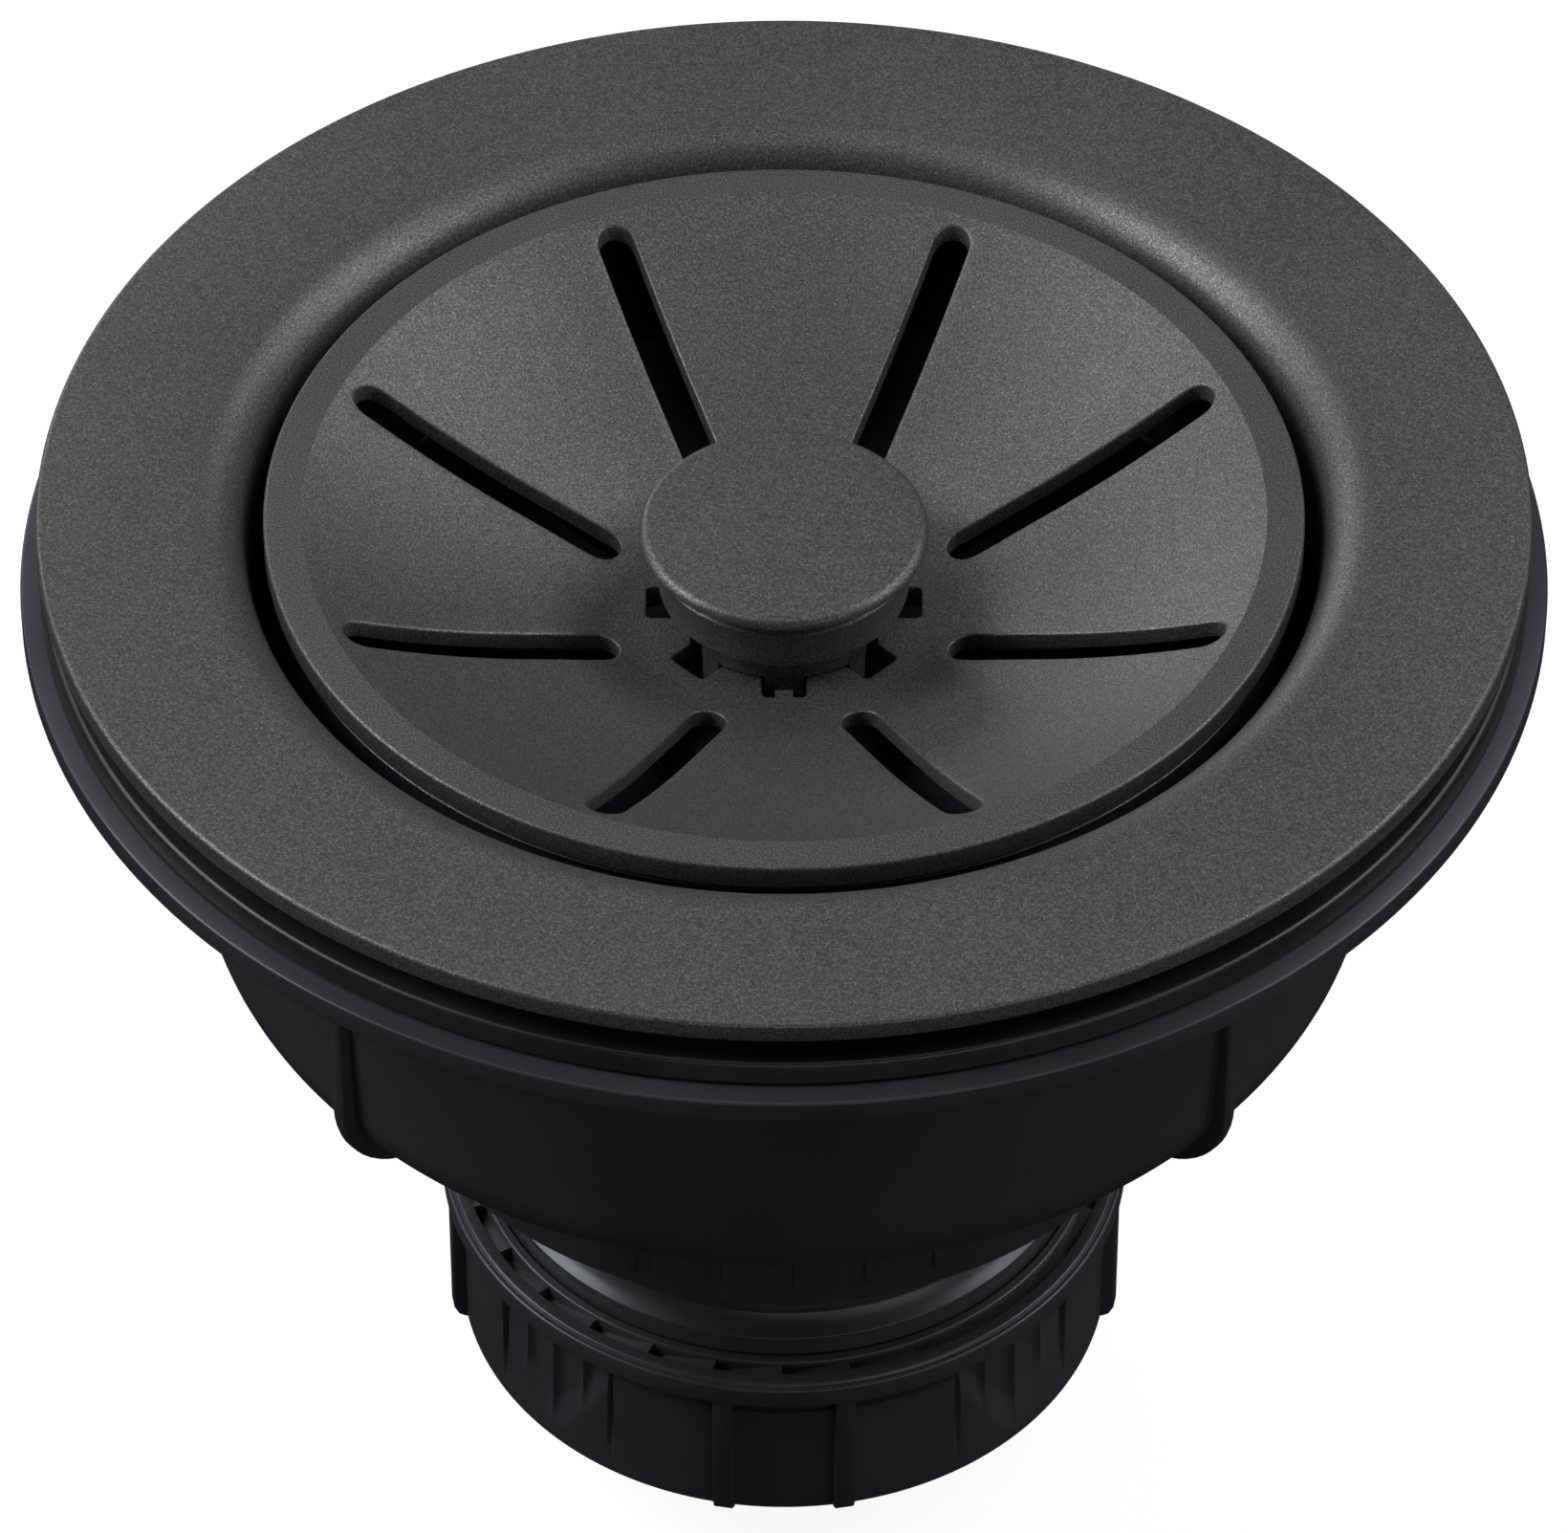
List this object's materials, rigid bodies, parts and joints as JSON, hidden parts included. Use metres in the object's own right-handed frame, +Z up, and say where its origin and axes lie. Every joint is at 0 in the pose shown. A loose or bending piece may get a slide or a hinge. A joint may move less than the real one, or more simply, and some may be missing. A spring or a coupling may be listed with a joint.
{
  "type": "kitchen sink basket strainer waste",
  "caption": "Round sink waste: flat flange with a dished, slotted strainer and lift knob, rubber gasket, moulded bowl narrowing to an outlet, and a grooved slip nut for the trap pipe.",
  "frame": {"origin": "middle of the slip nut's bottom face, on the waste's axis", "axes": "+Z up along the waste's axis, from the slip nut to the sink flange; +X to the right and -Y to the front as seen from the front"},
  "size_m": [0.117, 0.117, 0.0862],
  "materials": {
    "graphite_coating": "satin graphite coating with a fine light and dark speckle",
    "black_rubber": "matt black moulded rubber",
    "moulded_plastic": "near-black moulded plastic with a satin skin and a fine grain",
    "stainless": "plain turned stainless steel",
    "brass": "plain turned brass"
  },
  "bodies": {
    "drain": {"drain_body": "moulded_plastic", "outlet_neck": "moulded_plastic", "screw_spider": "moulded_plastic", "body_gasket": "black_rubber", "threaded_insert": "brass"},
    "flange": {"sink_flange": "graphite_coating", "flange_seal": "black_rubber", "screw_washer": "stainless", "screw_seal": "black_rubber"},
    "screw": {"clamp_screw": "stainless"},
    "slip_ring": {"slip_washer": "moulded_plastic", "cone_gasket": "black_rubber"},
    "nut": {"slip_nut": "moulded_plastic"},
    "strainer": {"strainer_plate": "graphite_coating", "basket_cup": "moulded_plastic", "hub_collar": "graphite_coating"},
    "plug": {"knob": "graphite_coating", "knob_stem": "stainless", "stem_seal": "black_rubber", "plug_carrier": "moulded_plastic", "plug_seal": "black_rubber", "stem_clip": "stainless"}
  },
  "joints": [
    {"name": "clamp_travel", "type": "slide", "parent": "drain", "child": "flange", "axis": [0, 0, 1], "range_m": [0, 0.00601]},
    {"name": "clamp_screw_turn", "type": "hinge", "parent": "flange", "child": "screw", "pos_m": [0, 0, 0.0529], "axis": [0, 0, 1], "range_deg": [0, 2164]},
    {"name": "nut_travel", "type": "slide", "parent": "drain", "child": "slip_ring", "axis": [0, 0, 1], "range_m": [-0.00925, 0]},
    {"name": "nut_turn", "type": "hinge", "parent": "slip_ring", "child": "nut", "pos_m": [0, 0, 0.0082], "axis": [0, 0, 1], "range_deg": [-1440, 0]},
    {"name": "strainer_lift", "type": "slide", "parent": "flange", "child": "strainer", "axis": [0, 0, 1], "range_m": [0, 0.06]},
    {"name": "knob_lift", "type": "slide", "parent": "strainer", "child": "plug", "axis": [0, 0, 1], "range_m": [0, 0.0045]}
  ],
  "couplings": [
    {"joint": "clamp_screw_turn", "follows": "clamp_travel", "rad_per_m": 6283.2},
    {"joint": "nut_travel", "follows": "nut_turn", "m_per_rad": 0.00036749}
  ]
}
